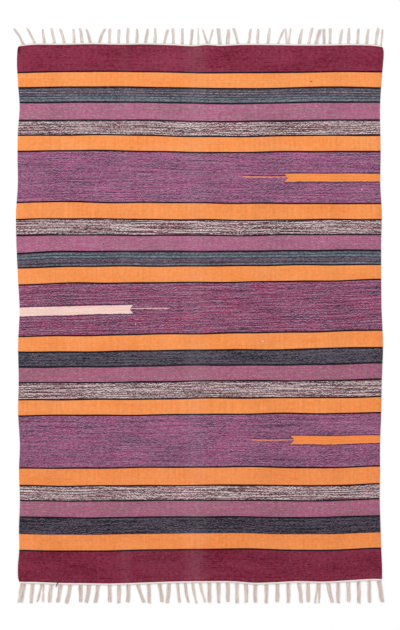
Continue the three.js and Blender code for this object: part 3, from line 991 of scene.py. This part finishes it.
def makeFrays(plies):
    # Thin fibres that spread out of each trimmed end: start + s * length * (ahead + s * spread), thinner
    # towards the tip
    tips, inside = (np.repeat(plies[:, step], tassel["frays"], axis=0) for step in (-1, -2))
    ahead = tips - inside
    ahead /= np.linalg.norm(ahead, axis=-1, keepdims=True)
    spread = chance.normal(0, 1, tips.shape) * tassel["fraySpread"]
    reach = tassel["frayLength"] * chance.uniform(*tassel["frayShares"], (len(tips), 1, 1))
    s = np.linspace(0, 1, tassel["fraySteps"])[None, :, None]
    start = tips + chance.normal(0, 1, tips.shape) * tassel["frayStart"] - ahead * tassel["frayInside"]
    lines = start[:, None] + s * reach * (ahead[:, None] + spread[:, None] * s)
    lines[..., 2] = np.clip(lines[..., 2], tassel["frayRadius"], None)
    radii = tassel["frayRadius"] * np.linspace(1, tassel["frayThin"], tassel["fraySteps"])
    return tubes(lines, np.broadcast_to(radii, lines.shape[:2]), tassel["fraySides"], lengthAlong(lines))


endStrip = {
    "stitch": 6.4,  # length of one stitch along the strip
    "slant": 1.6,  # by how many stitches one slants, for the whole width
    "step": 0.8,
    "across": 16,
    "groove": 1.3,  # how deep the strip dips between its stitches
    "grooveRound": 0.6,
    "ridge": 0.95,  # and between its two rows
    "ridgeRound": 0.4,
    "pinch": 0.24,  # how much of the width its outer side draws in between the stitches
    "sectionRound": 6,  # the 6 of the section's formula
    "inwards": 0.04,  # how much of the width lies inside the end line
    "wider": 1.08,
    "tip": 6,  # the length over which each end of the strip rounds off
    "tipLeast": 0.15,
    "underHeight": 0.05,
    "underTurns": (1.2, 1.4),
}


def makeStrip(name, ends, endAlong, side, shift, material):
    # A twined strip: its section is two rows of slanted stitches, carried along the end line. With w from 0
    # to 1 across it, z = (thickness, less the dips between rows and between stitches) *
    # (1 - (2 w - 1)^6)^0.5, and its tips round off as a quarter of an ellipse.
    first, last = ends[0, 0], ends[-1, 0]
    stations = round((last - first) / endStrip["step"])
    across = np.linspace(first, last, stations + 1)
    line = endAlong + side * (smoothLine(ends, across)[:, 0] + rug["seam"])
    fromTip = np.clip(np.minimum(across - first, last - across) / endStrip["tip"], 0, 1)
    rounding = np.clip((1 - (1 - fromTip) ** 2) ** 0.5, endStrip["tipLeast"], 1)[:, None]
    w = (1 - np.cos(np.linspace(0, np.pi, endStrip["across"] + 1))) / 2
    fold = np.abs(np.sin(2 * np.pi * w)) ** endStrip["ridgeRound"]
    stitch = across[:, None] / endStrip["stitch"] + np.where(w < 0.5, w, 1 - w) * endStrip["slant"]
    groove = np.abs(np.sin(np.pi * stitch)) ** endStrip["grooveRound"]
    height = rug["stripThick"] - endStrip["ridge"] * (1 - fold) - endStrip["groove"] * (1 - groove)
    height = height * np.clip(1 - (2 * w - 1) ** endStrip["sectionRound"], 0.001, 1) ** 0.5 * rounding
    outwards = w - endStrip["inwards"] - endStrip["pinch"] * (1 - groove) * np.clip(2 * w - 1, 0, 1)
    y = line[:, None] + side * outwards * rug["stripWidth"] * endStrip["wider"] * rounding
    top = np.stack([np.broadcast_to(across[:, None], y.shape), y, height], -1)
    under = top[:, [-1, 0]]
    under[..., 2] = endStrip["underHeight"]
    ring = np.concatenate([top, under], 1)
    loop = ring.shape[1]
    first, last = list(range(loop))[::-1], [stations * loop + point for point in range(loop)]
    faces = loopFaces(stations, loop)[2].reshape(-1, 4)
    if side > 0:
        faces = faces[:, ::-1]
        first, last = first[::-1], last[::-1]
    faces = faces.tolist() + [first, last]
    turn = np.concatenate([w, endStrip["underTurns"]])
    onStrip = np.stack(np.broadcast_arrays(across[:, None], turn), -1).reshape(-1, 2)
    corners = np.concatenate([np.ravel(face) for face in faces])
    return yarnObject(name, ring.reshape(-1, 3), faces, onStrip[corners], shift, material)


looseEnd = {
    "points": ((-468, 4, 3.6), (-469, 0, 4.6), (-471, -5, 5.4), (-474, -10, 5.2), (-476, -15, 3.6),
               (-477, -18, 2.2)),
    "radius": 0.85, "tipThin": (0.5, 3), "steps": 24, "sides": 8, "phase": 0.4,
}


def makeLooseWeft(shift, material):
    # The cut end of a weft yarn that lies over the near strip: two plies along a smooth line
    points = np.array(looseEnd["points"], float)
    at = np.linspace(0, len(points) - 1, looseEnd["steps"])
    line = smoothLine(np.column_stack([np.arange(len(points)), points]), at)[None]
    thin, power = looseEnd["tipThin"]
    radii = looseEnd["radius"] * (1 - thin * np.linspace(0, 1, line.shape[1]) ** power)
    made = plyTubes(line, lengthAlong(line), looseEnd["phase"], radii, looseEnd["sides"])[1]
    return yarnObject("looseWeftEnd", *made, shift, material)


# Floor, light and camera

stage = {
    "floor": 7.0,
    "floorDrop": 0.0004,
    "floorLook": {"Base Color": (0.985, 0.985, 0.99, 1), "Roughness": 0.95, "Specular IOR Level": 0.1},
    "sky": 0.77,
    "softbox": {"place": (-3.6, 6.6, 9.6), "size": 4.5, "power": 583},
    "lens": 90, "sensor": 36, "farthest": 60,
    "viewMiddle": (4.3, 1.7), "viewHeight": 2088.6,
}


def makeFloor():
    half = stage["floor"]
    corners = [(x * half, y * half, -stage["floorDrop"]) for x, y in ((-1, -1), (1, -1), (1, 1), (-1, 1))]
    material = newMaterial("paleFloor", stage["floorLook"])[0]
    floor = meshObject("paleGround", corners, [[0, 1, 2, 3]], material, smooth=False)
    return floor


def makeLights():
    world = bpy.data.worlds.new("evenSky")
    world.use_nodes = True
    sky = world.node_tree.nodes["Background"]
    sky.inputs["Color"].default_value = (1, 1, 1, 1)
    sky.inputs["Strength"].default_value = stage["sky"]
    bpy.context.scene.world = world
    box = stage["softbox"]
    light = bpy.data.lights.new("softbox", "AREA")
    light.shape = "SQUARE"
    light.size = box["size"]
    light.energy = box["power"]
    lamp = addObject("softbox", light)
    lamp.location = box["place"]
    lamp.rotation_mode = "QUATERNION"
    lamp.rotation_quaternion = (-lamp.location.normalized()).to_track_quat("-Z", "Y")
    bpy.context.scene.view_settings.view_transform = "Standard"


def makeCamera():
    # Straight above the rug. The long side of the picture spans viewHeight on the floor.
    camera = addObject("overhead", bpy.data.cameras.new("overhead"))
    camera.data.lens = stage["lens"]
    camera.data.sensor_width = stage["sensor"]
    camera.data.clip_end = stage["farthest"]
    camera.data.dof.use_dof = False
    away = stage["viewHeight"] * stage["lens"] / stage["sensor"]
    camera.location = [length * mm for length in (*stage["viewMiddle"], away)]
    bpy.context.scene.camera = camera


makeCamera()
makeLights()
floor = makeFloor()
print("stage: camera, light and floor")

wovenCotton = makeWovenCotton()
# The same undyed warp ends at both ends: the far copy is lighter and the near one darker, a painted shade for
# the light that falls off towards the near end
undyedYarns = {
    "far": makeYarnCotton("undyedYarnLitFar", (216, 195, 194), (255, 250, 240), root=0.8),
    "near": makeYarnCotton("undyedYarn", (214, 188, 187), (255, 246, 231), root=0.8),
}
twinedCotton = makeYarnCotton("twinedCotton", (253, 235, 225), (255, 252, 247), slant=60.0, outerRow=0.8)
burgundyYarn = makeYarnCotton("burgundyYarn", (92, 26, 46), (142, 52, 76))
print("stage: materials")

wovenCloth, shift = makeCloth(wovenCotton)
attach(wovenCloth, "root")
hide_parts("cloth")
print("stage: woven cloth,", len(wovenCloth.data.polygons), "faces")

for end, table, ends, endAlong, trimAlong, side in (
    ("far", farTassels, farEnd, rug["length"], rug["farTrim"], 1),
    ("near", nearTassels, nearEnd, 0, rug["nearTrim"], -1),
):
    strip = makeStrip(end + "TwinedStrip", ends, endAlong, side, shift, twinedCotton)
    tassels = makeTassels(end + "Tassels", table, ends, endAlong, trimAlong, side, shift, undyedYarns[end])
    for piece in (strip, tassels):
        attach(piece, "root")
        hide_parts("fringe_" + end + "_end")
    print("stage:", end, "fringe,", len(strip.data.polygons) + len(tassels.data.polygons), "faces")

looseWeft = makeLooseWeft(shift, burgundyYarn)
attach(looseWeft, "root")
print("stage: loose weft end")
